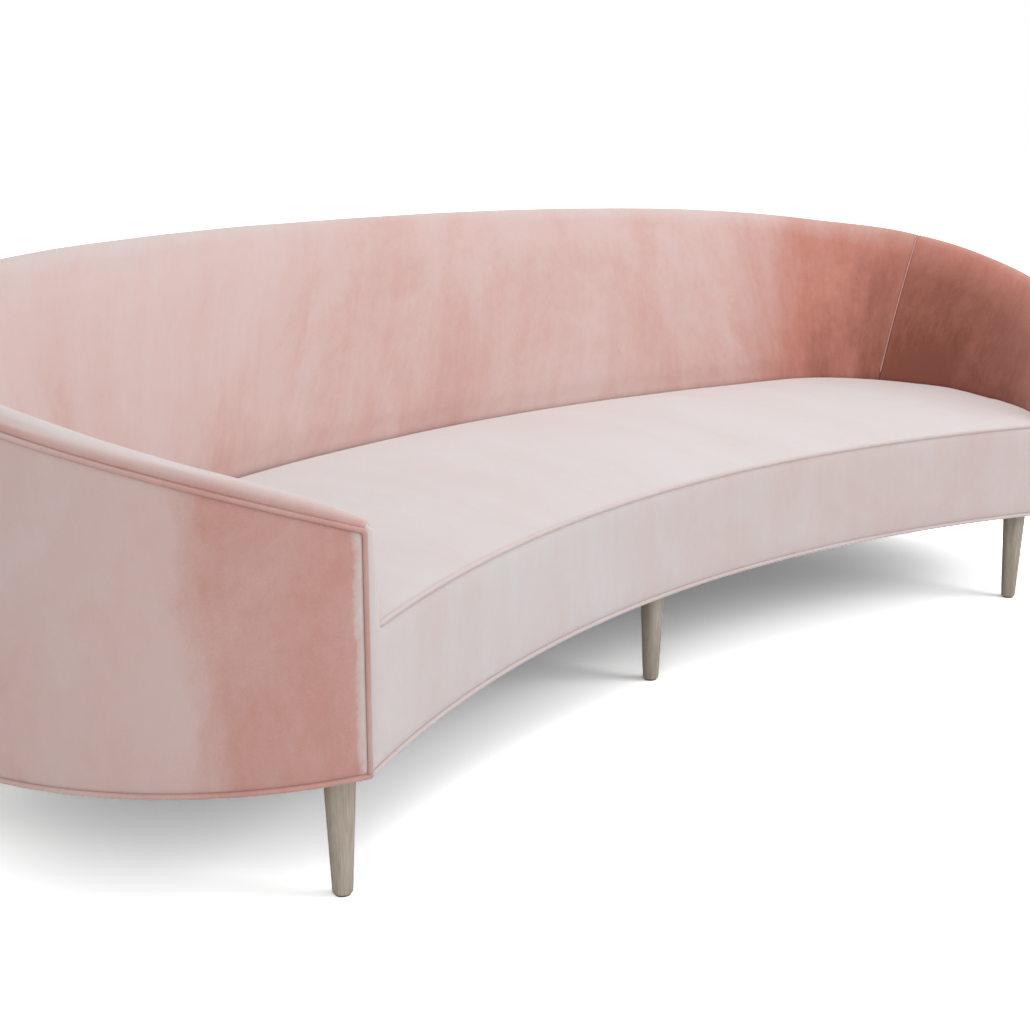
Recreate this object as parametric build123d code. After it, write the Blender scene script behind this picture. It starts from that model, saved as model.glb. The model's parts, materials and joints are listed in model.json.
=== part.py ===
from build123d import *

import os
from math import acos, atan2, cos, degrees, hypot, pi, radians, sin, sqrt

# A crescent sofa with a tight bench seat, a raked back that runs down into narrow arms, and six legs.
# Millimetres, +Z up, the open front towards -Y, the origin on the floor under the middle of the plan.

# Plan of the outside: a long back arc, then a tighter arc round each end to the front corner
BACK_RADIUS = 2650.0
BACK_HALF_ANGLE = 21.0
END_RADIUS = 482.0
END_ANGLE = 142.0
FRONT_RISE = 214.0

# Heights above the floor
UNDERSIDE_HEIGHT = 190.0
SEAT_EDGE_HEIGHT = 374.0
SEAT_BACK_HEIGHT = 402.0
SEAT_CROWN = 16.0
ARM_HEIGHT = 530.0
BACK_HEIGHT = 782.0

# Upholstered wall of back and arms, measured inward from the outside
BACK_BASE_DEPTH = 308.0
ARM_BASE_DEPTH = 40.0
BACK_CREST_SETBACK = 72.0
ARM_CREST_SETBACK = 10.0
CREST_TO_WELT = 28.5
NOSE_DROP = 15.0
NOSE_POWER = 24.0
FACE_BULGE = 8.0
SWEEP_POWER = 3.0
SEAM_HEADING = 82.0

# Covers, padding and trim
COVER_THICKNESS = 1.5
SEAT_COVER_THICKNESS = 3.0
WELT_RADIUS = 3.5
WELT_SIDES = 16
PADDING_THICKNESS = 9.5
BOARD_THICKNESS = 3.0
SOFT_GAP = 0.4
SEAT_TIP_MARGIN = 45.0

# Timber frame
BASE_THICKNESS = 18.0
BASE_RING_WIDTH = 110.0
RAIL_THICKNESS = 25.0
SEAT_RAIL_HEIGHT = 90.0
SEAT_RAIL_SETBACK = 35.0
TOP_RAIL_WIDTH = 45.0
ARM_RAIL_WIDTH = 18.0
TOP_RAIL_THICKNESS = 22.0
CREST_TO_TOP_RAIL = 38.0
TACK_RAIL_CLEARANCE = 40.0
TACK_RAIL_HEIGHT = 25.0
RIB_THICKNESS = 22.0
RIB_HEADINGS = (-120.0, -85.0, -48.0, -18.0, -7.0, 7.0, 18.0, 48.0, 85.0, 120.0)
POST_HEADING = 140.0
POST_PADDING = 4.0
CROSS_RAIL_WIDTH = 30.0
CROSS_RAIL_HEIGHT = 60.0
CROSS_RAIL_SPACING = 450.0
CROSS_RAIL_COUNT = 4
CORNER_BLOCK_SIZE = 40.0
CORNER_BLOCK_HEIGHT = 50.0
SHELF_THICKNESS = 12.0
SHELF_REACH = 100.0
SHELF_HEADINGS = (24.0, 137.0)
FRAME_GAP = 0.3

# Screws through the front rail into the cross rails
SCREW_RADIUS = 2.2
SCREW_LENGTH = 60.0
SCREW_HEAD_RADIUS = 4.5
SCREW_HEAD_HEIGHT = 3.0
SCREW_SPACING = 30.0
HOLE_CLEARANCE = 0.2

# Sinuous seat springs and their clips
SPRING_COUNT = 11
SPRING_SPACING = 150.0
SPRING_WIRE_RADIUS = 1.9
SPRING_WIRE_SIDES = 6
SPRING_BAR = 32.0
SPRING_PITCH = 30.0
CLIP_LENGTH = 24.0
CLIP_WIDTH = 12.0
CLIP_HEIGHT = 7.0
INSULATOR_THICKNESS = 3.0

# Back webbing
STRAP_WIDTH = 50.0
STRAP_THICKNESS = 2.0
STRAP_HEADINGS = (5.0, 12.0, 26.0, 36.0, 60.0, 72.0, 98.0, 108.0)

# Legs
LEG_TOP_RADIUS = 22.5
LEG_FOOT_RADIUS = 13.5
LEG_FOOT_ROUND = 2.0
LEG_OUTSIDE_INSET = 84.0
LEG_FRONT_INSET = 66.0
LEG_MIDDLE_INSET = 90.0
LEG_REAR_HEADING = 62.0
GLIDE_THICKNESS = 3.0
GLIDE_RADIUS = 10.5
BOLT_RADIUS = 4.0
BOLT_DEPTH = 40.0
BOLT_PROUD = 5.0
TEE_NUT_RADIUS = 5.4
TEE_NUT_FLANGE_RADIUS = 11.0
TEE_NUT_FLANGE_THICKNESS = 1.6
DUST_COVER_THICKNESS = 1.0
DUST_COVER_INSET = 8.0

# Sections taken along the wall
BACK_STATIONS = 7
END_STATIONS = 17
END_OVERRUN = 7.0

# Plan worked out from the driving dimensions
FRONT_HEADING = BACK_HALF_ANGLE + END_ANGLE
LAST_HEADING = FRONT_HEADING + END_OVERRUN
BACK_RUN = BACK_RADIUS * radians(BACK_HALF_ANGLE)
WALL_RUN = BACK_RUN + END_RADIUS * radians(END_ANGLE)
END_CENTRE_X = (BACK_RADIUS - END_RADIUS) * sin(radians(BACK_HALF_ANGLE))
END_CENTRE_RISE = (BACK_RADIUS - END_RADIUS) * cos(radians(BACK_HALF_ANGLE))
DEPTH = BACK_RADIUS - END_CENTRE_RISE - END_RADIUS * cos(radians(FRONT_HEADING))
BACK_CENTRE_Y = DEPTH / 2 - BACK_RADIUS
END_CENTRE_Y = BACK_CENTRE_Y + END_CENTRE_RISE
CORNER_X = END_CENTRE_X + END_RADIUS * sin(radians(FRONT_HEADING))
CORNER_Y = -DEPTH / 2
FRONT_RADIUS = (CORNER_X ** 2 + FRONT_RISE ** 2) / (2 * FRONT_RISE)
FRONT_CENTRE_Y = CORNER_Y + FRONT_RISE - FRONT_RADIUS

# Levels and insets worked out from the driving dimensions
COVER_BOTTOM = UNDERSIDE_HEIGHT + 2 * WELT_RADIUS + SOFT_GAP
BASE_BOTTOM = UNDERSIDE_HEIGHT + DUST_COVER_THICKNESS + SOFT_GAP
BASE_TOP = BASE_BOTTOM + BASE_THICKNESS
RAIL_TOP = BASE_TOP + SEAT_RAIL_HEIGHT
SPRING_LEVEL = RAIL_TOP + CLIP_HEIGHT / 2
INSULATOR_BOTTOM = RAIL_TOP + SHELF_THICKNESS + SOFT_GAP
DECK_LEVEL = INSULATOR_BOTTOM + INSULATOR_THICKNESS + SOFT_GAP
TACK_RAIL_BOTTOM = RAIL_TOP + TACK_RAIL_CLEARANCE
LAYER_INSET = COVER_THICKNESS + SOFT_GAP
FRAME_FRONT = LAYER_INSET + PADDING_THICKNESS + SOFT_GAP
FRAME_INSET = LAYER_INSET + BOARD_THICKNESS + SOFT_GAP
POST_INSET = LAYER_INSET + POST_PADDING


class Station:
    """One vertical section of the wall, square to the outside at a heading from straight back."""

    def __init__(self, heading):
        turn = radians(abs(heading))
        side = -1.0 if heading < 0 else 1.0
        if abs(heading) <= BACK_HALF_ANGLE:
            run = BACK_RADIUS * turn
            x = BACK_RADIUS * sin(turn)
            y = BACK_CENTRE_Y + BACK_RADIUS * cos(turn)
        else:
            run = BACK_RUN + END_RADIUS * (turn - radians(BACK_HALF_ANGLE))
            x = END_CENTRE_X + END_RADIUS * sin(turn)
            y = END_CENTRE_Y + END_RADIUS * cos(turn)
        share = run / WALL_RUN
        fall = share ** SWEEP_POWER
        self.share = side * share
        nose = NOSE_DROP * min(share, 1.0) ** NOSE_POWER
        self.top = BACK_HEIGHT - (BACK_HEIGHT - ARM_HEIGHT) * fall - nose
        self.slope = (BACK_HEIGHT - ARM_HEIGHT) * SWEEP_POWER * share ** (SWEEP_POWER - 1) / WALL_RUN
        self.depth = BACK_BASE_DEPTH - (BACK_BASE_DEPTH - ARM_BASE_DEPTH) * fall
        self.seat = SEAT_BACK_HEIGHT - (SEAT_BACK_HEIGHT - SEAT_EDGE_HEIGHT) * fall
        self.setback = BACK_CREST_SETBACK - (BACK_CREST_SETBACK - ARM_CREST_SETBACK) * share
        self.welt = self.top + nose - CREST_TO_WELT
        self.bulge = FACE_BULGE * self.depth / BACK_BASE_DEPTH
        self.rail_end = FRAME_INSET + TOP_RAIL_WIDTH - (TOP_RAIL_WIDTH - ARM_RAIL_WIDTH) * fall
        inward = Vector(-side * sin(turn), -cos(turn), 0)
        self.plane = Plane(origin=(side * x, y, 0), x_dir=inward, z_dir=inward.cross(Vector(0, 0, 1)))

    def place(self, inset, height):
        """A point at a distance inward from the outside and a height above the floor."""
        return self.plane.from_local_coords((inset, height, 0))

    def web_line(self, height):
        """Distance inward of the webbing's back face at a height."""
        upper = self.top - CREST_TO_TOP_RAIL
        low = self.depth - SEAT_RAIL_SETBACK
        high = self.rail_end + SOFT_GAP
        share = (upper - height) / (upper - TACK_RAIL_BOTTOM)
        return high + (low - high) * share


def stations(first, last):
    """Stations from one heading to another, closer together round the ends than along the back."""
    back = [BACK_HALF_ANGLE * i / BACK_STATIONS for i in range(BACK_STATIONS)]
    span = LAST_HEADING - BACK_HALF_ANGLE
    end = [BACK_HALF_ANGLE + span * i / END_STATIONS for i in range(END_STATIONS + 1)]
    half = back + end
    headings = [-h for h in reversed(half[1:])] + half
    least_step = BACK_HALF_ANGLE / BACK_STATIONS / 2
    inner = [h for h in headings if first + least_step < h < last - least_step]
    return [Station(h) for h in [first] + inner + [last]]


def skin(station, inset):
    """Upholstered top from the outside welt over the crest to the seat: points with the arc middles."""
    crest_height = station.top - inset
    rise = station.top - station.welt - WELT_RADIUS - SOFT_GAP - inset
    reach = station.setback - inset
    outer_radius = (reach ** 2 + rise ** 2) / (2 * rise)
    half_turn = atan2(reach, outer_radius - rise) / 2
    start = (inset, crest_height - rise)
    outer_middle = (
        station.setback - outer_radius * sin(half_turn),
        crest_height - outer_radius + outer_radius * cos(half_turn),
    )
    crest = (station.setback, crest_height)
    centre_height = station.top - station.setback
    foot = (station.depth - inset, station.seat)
    across = foot[0] - station.setback
    down = foot[1] - centre_height
    lean = atan2(down, across) + acos(reach / hypot(across, down))
    half_lean = (pi / 2 + lean) / 2
    roll_middle = (
        station.setback + reach * cos(half_lean),
        centre_height + reach * sin(half_lean),
    )
    shoulder = (station.setback + reach * cos(lean), centre_height + reach * sin(lean))
    face_middle = (
        (shoulder[0] + foot[0]) / 2 + station.bulge * cos(lean),
        (shoulder[1] + foot[1]) / 2 + station.bulge * sin(lean),
    )
    return [start, outer_middle, crest, roll_middle, shoulder, face_middle, foot]


def arcs_through(place, points):
    """Arcs through points listed as end, middle, end, middle and so on."""
    edges = []
    for i in range(0, len(points) - 2, 2):
        a, b, c = (place(*point) for point in points[i:i + 3])
        edges.append(Edge.make_three_point_arc(a, b, c))
    return edges


def lines_through(place, points):
    """Straight runs through points."""
    placed = [place(*point) for point in points]
    return [Edge.make_line(a, b) for a, b in zip(placed, placed[1:])]


def strip_section(place, upper, lower):
    """Closed section of a thin layer between two lists of arcs."""
    edges = arcs_through(place, upper)
    edges += lines_through(place, [upper[-1], lower[-1]])
    edges += arcs_through(place, lower[::-1])
    edges += lines_through(place, [lower[0], upper[0]])
    return Wire(edges)


def straight_section(place, points):
    """Closed section with straight sides."""
    return Wire(lines_through(place, points + points[:1]))


def box_section(station, near, far, low, high):
    """Upright rectangle in the wall between two insets and two heights."""
    return straight_section(station.place, [(near, low), (near, high), (far, high), (far, low)])


def loft_along(first, last, section):
    """Solid through the sections of the wall between two headings."""
    return Solid.make_loft([section(station) for station in stations(first, last)])


def mirrored(shape):
    """The same piece on the other end of the sofa."""
    return shape.mirror(Plane.YZ)


def largest(shape):
    """The main solid left by a cut."""
    return max(shape.solids(), key=lambda solid: solid.volume)


def upright(radius, x, y, low, high):
    """Vertical cylinder."""
    return Solid.make_cylinder(radius, high - low, Plane((x, y, low)))


def front_cylinder(inset):
    """Everything in front of the concave front's face, moved back by an inset."""
    return upright(FRONT_RADIUS + inset, 0, FRONT_CENTRE_Y, 0, 2 * BACK_HEIGHT)


def front_point(x, inset):
    """Plan point on the concave front, an inset behind its face."""
    return Vector(x, FRONT_CENTRE_Y + sqrt((FRONT_RADIUS + inset) ** 2 - x ** 2), 0)


def front_arc(half_width, inset):
    """Plan arc along the concave front, from left to right."""
    left = front_point(-half_width, inset)
    right = front_point(half_width, inset)
    return Edge.make_three_point_arc(left, front_point(0, inset), right)


def front_strip(half_width, near, far, low, high):
    """Curved upright strip along the concave front."""
    face_arc = front_arc(half_width, near)
    back_arc = front_arc(half_width, far)
    edges = [
        face_arc,
        Edge.make_line(face_arc.position_at(1), back_arc.position_at(1)),
        back_arc,
        Edge.make_line(back_arc.position_at(0), face_arc.position_at(0)),
    ]
    return Pos(0, 0, low) * Solid.extrude(Face(Wire(edges)), Vector(0, 0, high - low))


def corner_heading(outside_inset, front_inset):
    """Heading, in degrees, where the outside, moved in, meets the front, moved in."""
    radius = END_RADIUS - outside_inset
    front = FRONT_RADIUS + front_inset
    rise = END_CENTRE_Y - FRONT_CENTRE_Y
    gap = hypot(END_CENTRE_X, rise)
    swing = acos((front ** 2 - radius ** 2 - gap ** 2) / (2 * radius * gap))
    return degrees(atan2(END_CENTRE_X, rise) + swing)


def outside_arcs(inset, heading):
    """Plan arcs of the outside, moved in, from a heading on the left round to the same on the right."""
    def point(turn):
        return Station(turn).place(inset, 0)

    bend = BACK_HALF_ANGLE
    middle = (heading + bend) / 2
    return [
        Edge.make_three_point_arc(point(-heading), point(-middle), point(-bend)),
        Edge.make_three_point_arc(point(-bend), point(0), point(bend)),
        Edge.make_three_point_arc(point(bend), point(middle), point(heading)),
    ]


def crescent(outside_inset, front_inset, low, thickness):
    """Flat plate with the sofa's plan, moved in from the outside and from the front."""
    edges = outside_arcs(outside_inset, corner_heading(outside_inset, front_inset))
    left = edges[0].position_at(0)
    right = edges[-1].position_at(1)
    edges.append(Edge.make_three_point_arc(right, front_point(0, front_inset), left))
    return Pos(0, 0, low) * Solid.extrude(Face(Wire(edges)), Vector(0, 0, thickness))


def seat_tip_heading():
    """Heading at which the seat's back edge reaches the front, by halving."""
    near, far = 0.0, LAST_HEADING
    while far - near > 1e-6:
        middle = (near + far) / 2
        station = Station(middle)
        foot = station.place(station.depth, 0)
        if hypot(foot.X, foot.Y - FRONT_CENTRE_Y) > FRONT_RADIUS:
            near = middle
        else:
            far = middle
    return near


def back_line_y(x, offset):
    """Y of the line an offset inward of the wall's inner face at an x, by halving the heading."""
    near, far = 0.0, SEAM_HEADING
    while far - near > 1e-6:
        middle = (near + far) / 2
        station = Station(middle)
        if station.place(station.depth + offset, 0).X < abs(x):
            near = middle
        else:
            far = middle
    station = Station(near)
    return station.place(station.depth + offset, 0).Y


SEAT_TIP = Station(seat_tip_heading())
SEAT_TIP_X = SEAT_TIP.place(SEAT_TIP.depth, 0).X
SEAT_END_HEADING = seat_tip_heading() - degrees(SEAT_TIP_MARGIN / END_RADIUS)


class SeatSection:
    """Vertical section of the seat from a point on the front to the matching point on the back."""

    def __init__(self, station):
        self.front = front_point(SEAT_TIP_X * station.share / SEAT_TIP.share, 0)
        foot = station.place(station.depth, 0)
        self.length = (foot - self.front).length
        self.way = (foot - self.front).normalized()
        self.back_height = station.seat

    def place(self, run, height):
        """A point at a run from the front edge and a height above the floor."""
        return self.front + self.way * run + Vector(0, 0, height)

    def run_to(self, inset):
        """Run at which the section is an inset behind the front's face."""
        along = (self.front - Vector(0, FRONT_CENTRE_Y, 0)).dot(self.way)
        return sqrt(along ** 2 + (FRONT_RADIUS + inset) ** 2 - FRONT_RADIUS ** 2) - along

    def top(self, front_inset, drop):
        """Crowned top of the seat, a drop below its surface, as end, middle, end."""
        start = self.run_to(front_inset)
        end = self.length - SOFT_GAP
        low = SEAT_EDGE_HEIGHT - drop
        high = self.back_height - drop
        crown = SEAT_CROWN * min(1.0, self.length / BACK_BASE_DEPTH)
        return [(start, low), ((start + end) / 2, (low + high) / 2 + crown), (end, high)]


def seat_loft(section):
    """Solid through the sections of the seat from end to end."""
    return loft_along(-SEAT_END_HEADING, SEAT_END_HEADING, lambda station: section(SeatSection(station)))


def seat_cover():
    """Crowned cover over the seat foam, wadded, from the seat welt to the back."""
    front = 1.5 * WELT_RADIUS + SOFT_GAP

    def section(seat):
        return strip_section(seat.place, seat.top(front, 0), seat.top(front, SEAT_COVER_THICKNESS))
    return seat_loft(section)


def seat_foam():
    """Crowned foam of the bench seat."""
    def section(seat):
        top = seat.top(FRAME_FRONT, SEAT_COVER_THICKNESS + SOFT_GAP)
        low = [top[-1], (top[-1][0], DECK_LEVEL), (top[0][0], DECK_LEVEL), top[0]]
        return Wire(arcs_through(seat.place, top) + lines_through(seat.place, low))
    return seat_loft(section)


def insulator():
    """Felt sheet between the springs and the seat foam."""
    def section(seat):
        near = seat.run_to(FRAME_FRONT)
        far = seat.length - SOFT_GAP
        high = INSULATOR_BOTTOM + INSULATOR_THICKNESS
        corners = [(near, INSULATOR_BOTTOM), (near, high), (far, high), (far, INSULATOR_BOTTOM)]
        return straight_section(seat.place, corners)
    return seat_loft(section)


def inside_cover(first, last):
    """Cover of the inside of the wall, from the outside welt over the crest to the seat."""
    def section(station):
        return strip_section(station.place, skin(station, 0), skin(station, COVER_THICKNESS))
    return loft_along(first, last, section)


def back_foam(first, last):
    """Foam over the top rail and in front of the webbing."""
    front = STRAP_THICKNESS + 3 * SOFT_GAP

    def section(station):
        top = skin(station, LAYER_INSET + SOFT_GAP)
        lip = station.top - CREST_TO_TOP_RAIL + SOFT_GAP
        back = [
            top[-1],
            (station.depth - LAYER_INSET, DECK_LEVEL),
            (station.web_line(DECK_LEVEL) + front, DECK_LEVEL),
            (station.web_line(lip) + front, lip),
            (FRAME_INSET, lip),
            (FRAME_INSET, top[0][1]),
            top[0],
        ]
        return Wire(arcs_through(station.place, top) + lines_through(station.place, back))
    return loft_along(first, last, section)


def arm_front_block(inset, outside, low, first):
    """Front end of the right arm as a block, an inset below its covered surface and in from the outside."""
    def section(station):
        top = skin(station, inset)
        shoulder = top[0][1] - abs(outside - inset)
        sides = [top[-1], (top[-1][0], low), (outside, low), (outside, shoulder)]
        if outside != inset:
            sides.append(top[0])
        return Wire(arcs_through(station.place, top) + lines_through(station.place, sides))
    return loft_along(first, LAST_HEADING, section)


def arm_post():
    """Timber core at the front of the right arm, standing on the base ring."""
    block = arm_front_block(POST_INSET, POST_INSET, BASE_TOP, POST_HEADING)
    return largest(block - front_cylinder(FRAME_FRONT))


def arm_front_padding(rail):
    """Padding over the core of the right arm, notched for the front rail and the base ring."""
    block = arm_front_block(LAYER_INSET, FRAME_INSET, COVER_BOTTOM, POST_HEADING)
    block = block - front_cylinder(LAYER_INSET)
    core = arm_front_block(POST_INSET - SOFT_GAP, 0, 0, POST_HEADING - 1)
    core = core - front_cylinder(FRAME_FRONT - SOFT_GAP)
    edge = FRAME_FRONT - SOFT_GAP
    base = crescent(edge, edge, BASE_BOTTOM, BASE_THICKNESS + SOFT_GAP)
    return largest(block - core - rail - base)


def arm_front_facing():
    """Narrow cover on the front end of the right arm."""
    block = arm_front_block(WELT_RADIUS + SOFT_GAP, FRAME_INSET, COVER_BOTTOM, POST_HEADING)
    return largest((block - front_cylinder(0)) & front_cylinder(COVER_THICKNESS))


def outside_panel(near, far, low, below_welt, first, last):
    """Upright layer on the outside of the wall, ending below the outside welt."""
    def section(station):
        return box_section(station, near, far, low, station.welt - below_welt)
    return loft_along(first, last, section)


def top_rail(first, last):
    """Rail under the crest."""
    def section(station):
        high = station.top - CREST_TO_TOP_RAIL
        return box_section(station, FRAME_INSET, station.rail_end, high - TOP_RAIL_THICKNESS, high)
    return loft_along(first, last, section)


def tack_rail():
    """Slanted rail behind the lower ends of the webbing."""
    low = TACK_RAIL_BOTTOM
    high = low + TACK_RAIL_HEIGHT

    def section(station):
        near_low = station.web_line(low) - SOFT_GAP
        near_high = station.web_line(high) - SOFT_GAP
        corners = [
            (near_low, low),
            (near_high, high),
            (near_high - RAIL_THICKNESS, high),
            (near_low - RAIL_THICKNESS, low),
        ]
        return straight_section(station.place, corners)
    reach = max(RIB_HEADINGS) + degrees(RIB_THICKNESS / END_RADIUS)
    return loft_along(-reach, reach, section)


def seat_back_rail():
    """Curved rail that carries the back ends of the springs."""
    def section(station):
        far = station.depth - SEAT_RAIL_SETBACK
        return box_section(station, far - RAIL_THICKNESS, far, BASE_TOP, RAIL_TOP)
    reach = max(RIB_HEADINGS) + degrees(RIB_THICKNESS / END_RADIUS)
    return loft_along(-reach, reach, section)


def seat_shelf():
    """Curved shelf on the back seat rail that carries the right end of the seat."""
    def section(station):
        near = station.depth - SEAT_RAIL_SETBACK - RAIL_THICKNESS / 2
        far = station.depth + SHELF_REACH
        return box_section(station, near, far, RAIL_TOP, RAIL_TOP + SHELF_THICKNESS)
    return loft_along(*SHELF_HEADINGS, section)


def rib(heading):
    """Upright rib that stands on the base and carries the top rail and the tack rail."""
    station = Station(heading)
    half = RIB_THICKNESS / 2
    high = station.top - CREST_TO_TOP_RAIL - TOP_RAIL_THICKNESS - station.slope * half - FRAME_GAP
    curve_gap = half ** 2 / END_RADIUS + FRAME_GAP
    behind = RAIL_THICKNESS + SOFT_GAP + curve_gap
    low_far = station.depth - SEAT_RAIL_SETBACK - behind
    corners = [
        (FRAME_INSET + curve_gap, BASE_TOP),
        (FRAME_INSET + curve_gap, high),
        (station.web_line(high) - behind, high),
        (low_far, TACK_RAIL_BOTTOM),
        (low_far, BASE_TOP),
    ]
    along = station.plane.z_dir
    plate = Solid.extrude(Face(straight_section(station.place, corners)), along * RIB_THICKNESS)
    return plate.moved(Location(along * -half))


def strap(heading):
    """Elastic strap from the top rail down to the tack rail."""
    radius = BACK_RADIUS if abs(heading) < BACK_HALF_ANGLE else END_RADIUS
    reach = degrees(STRAP_WIDTH / 2 / radius)

    def section(station):
        high = station.top - CREST_TO_TOP_RAIL
        low = TACK_RAIL_BOTTOM
        corners = [
            (station.web_line(high), high),
            (station.web_line(high) + STRAP_THICKNESS, high),
            (station.web_line(low) + STRAP_THICKNESS, low),
            (station.web_line(low), low),
        ]
        return straight_section(station.place, corners)
    return loft_along(heading - reach, heading + reach, section)


def front_rail():
    """Curved rail behind the front border, ending at the arm posts."""
    rail = front_strip(CORNER_X, FRAME_FRONT, FRAME_FRONT + RAIL_THICKNESS, BASE_TOP, RAIL_TOP)
    grown = arm_front_block(POST_INSET - FRAME_GAP, 0, 0, POST_HEADING - 1)
    return largest(rail - grown - mirrored(grown))


def cross_rail_positions():
    """X of each cross rail."""
    middle = (CROSS_RAIL_COUNT - 1) / 2
    return [(i - middle) * CROSS_RAIL_SPACING for i in range(CROSS_RAIL_COUNT)]


def cross_rails():
    """Straight rails from the front rail to the back seat rail."""
    def behind(station):
        far = station.depth - SEAT_RAIL_SETBACK + FRAME_GAP
        return box_section(station, -RAIL_THICKNESS, far, 0, BACK_HEIGHT)

    back = loft_along(-SEAM_HEADING, SEAM_HEADING, behind)
    front = front_cylinder(FRAME_FRONT + RAIL_THICKNESS + FRAME_GAP)
    rails = []
    for x in cross_rail_positions():
        box = Solid.make_box(CROSS_RAIL_WIDTH, DEPTH, CROSS_RAIL_HEIGHT)
        placed = Pos(x - CROSS_RAIL_WIDTH / 2, CORNER_Y, BASE_TOP) * box
        rails.append(largest(placed - front - back))
    return rails


def corner_blocks():
    """Glue blocks between the front rail and the sides of the cross rails."""
    front = front_cylinder(FRAME_FRONT + RAIL_THICKNESS + FRAME_GAP)
    blocks = []
    for x in cross_rail_positions():
        for side in (-1, 1):
            near = x + side * (CROSS_RAIL_WIDTH / 2 + FRAME_GAP)
            far = near + side * CORNER_BLOCK_SIZE
            inset = FRAME_FRONT + RAIL_THICKNESS
            back = front_point(near, inset).Y + CORNER_BLOCK_SIZE
            low = front_point(far, inset).Y
            corners = [(near, back), (near, CORNER_Y), (far, CORNER_Y), (far, low + FRAME_GAP)]
            face = Face(Wire.make_polygon([Vector(*corner, BASE_TOP) for corner in corners]))
            prism = Solid.extrude(face, Vector(0, 0, CORNER_BLOCK_HEIGHT))
            blocks.append(largest(prism - front))
    return blocks


def screw_places():
    """Start of each screw at the front rail's face."""
    places = []
    for x in cross_rail_positions():
        for step in (-0.5, 0.5):
            height = BASE_TOP + CROSS_RAIL_HEIGHT / 2 + step * SCREW_SPACING
            places.append(front_point(x, FRAME_FRONT) + Vector(0, 0, height))
    return places


def screw(place, clearance):
    """Countersunk screw along +Y, or with a clearance the hole for it."""
    slant = SCREW_HEAD_RADIUS * abs(place.X) / FRONT_RADIUS
    plane = Plane(place + Vector(0, slant + FRAME_GAP, 0), z_dir=(0, 1, 0))
    shank = Solid.make_cylinder(SCREW_RADIUS + clearance, SCREW_LENGTH + clearance, plane)
    head = Solid.make_cylinder(SCREW_HEAD_RADIUS + clearance, SCREW_HEAD_HEIGHT + clearance, plane)
    body = shank + head
    if clearance > 0:
        entry = Plane(place - Vector(0, SCREW_HEAD_RADIUS, 0), z_dir=(0, 1, 0))
        body += Solid.make_cylinder(SCREW_HEAD_RADIUS + clearance, 2 * SCREW_HEAD_RADIUS + slant, entry)
    return body.solids()[0]


def spring_ends(x):
    """Y of a spring's first and last bar, over the middle of each seat rail."""
    front = front_point(x, FRAME_FRONT + RAIL_THICKNESS / 2).Y
    back = back_line_y(x, -SEAT_RAIL_SETBACK - RAIL_THICKNESS / 2)
    return front, back


def spring_positions():
    """X of each seat spring."""
    middle = (SPRING_COUNT - 1) / 2
    return [(i - middle) * SPRING_SPACING for i in range(SPRING_COUNT)]


def seat_spring(x):
    """Sinuous spring: straight bars across, joined by half turns at alternate ends."""
    front, back = spring_ends(x)
    gaps = round((back - front) / SPRING_PITCH)
    pitch = (back - front) / gaps
    half = SPRING_BAR / 2
    edges = []
    for i in range(gaps + 1):
        side = 1 if i % 2 == 0 else -1
        y = front + i * pitch
        start = Vector(x - side * half, y, SPRING_LEVEL)
        end = Vector(x + side * half, y, SPRING_LEVEL)
        edges.append(Edge.make_line(start, end))
        if i < gaps:
            middle = end + Vector(side * pitch / 2, pitch / 2, 0)
            edges.append(Edge.make_three_point_arc(end, middle, end + Vector(0, pitch, 0)))
    path = Wire(edges)
    plane = Plane(path.position_at(0), z_dir=path.tangent_at(0))
    turns = [2 * pi * i / SPRING_WIRE_SIDES for i in range(SPRING_WIRE_SIDES)]
    corners = [(SPRING_WIRE_RADIUS * cos(turn), SPRING_WIRE_RADIUS * sin(turn), 0) for turn in turns]
    section = Wire.make_polygon([plane.from_local_coords(corner) for corner in corners])
    return Solid.sweep(Face(section), path)


def spring_clips():
    """Clips that hold the first and last bar of each spring on the rails."""
    clips = []
    for x in spring_positions():
        for y in spring_ends(x):
            corner = Pos(x - CLIP_LENGTH / 2, y - CLIP_WIDTH / 2, RAIL_TOP)
            block = corner * Solid.make_box(CLIP_LENGTH, CLIP_WIDTH, CLIP_HEIGHT)
            plane = Plane((x - CLIP_LENGTH, y, SPRING_LEVEL), z_dir=(1, 0, 0))
            channel = Solid.make_cylinder(SPRING_WIRE_RADIUS + HOLE_CLEARANCE, 2 * CLIP_LENGTH, plane)
            clips.append(largest(block - channel))
    return clips


def ring_section(place, inset, height):
    """Round section of the welt, drawn with short flat sides."""
    turns = [2 * pi * k / WELT_SIDES for k in range(WELT_SIDES)]
    corners = [(inset + WELT_RADIUS * cos(turn), height + WELT_RADIUS * sin(turn)) for turn in turns]
    return straight_section(place, corners)


def outside_top_welt():
    """Welt along the top of the outside panel."""
    end = FRONT_HEADING - degrees((WELT_RADIUS + SOFT_GAP) / END_RADIUS)
    return loft_along(-end, end, lambda station: ring_section(station.place, 0, station.welt))


def swept_welt(edges, height):
    """Welt along a level path in plan."""
    path = Wire(edges).moved(Location((0, 0, height)))
    section = Wire.make_circle(WELT_RADIUS, Plane(path.position_at(0), z_dir=path.tangent_at(0)))
    return Solid.sweep(Face(section), path)


def bottom_welt():
    """Welt round the bottom edge: one run round the outside and one along the front."""
    height = UNDERSIDE_HEIGHT + WELT_RADIUS
    front_half_width = CORNER_X - 4 * WELT_RADIUS
    return [
        swept_welt(outside_arcs(0, FRONT_HEADING), height),
        swept_welt([front_arc(front_half_width, 0)], height),
    ]


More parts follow.
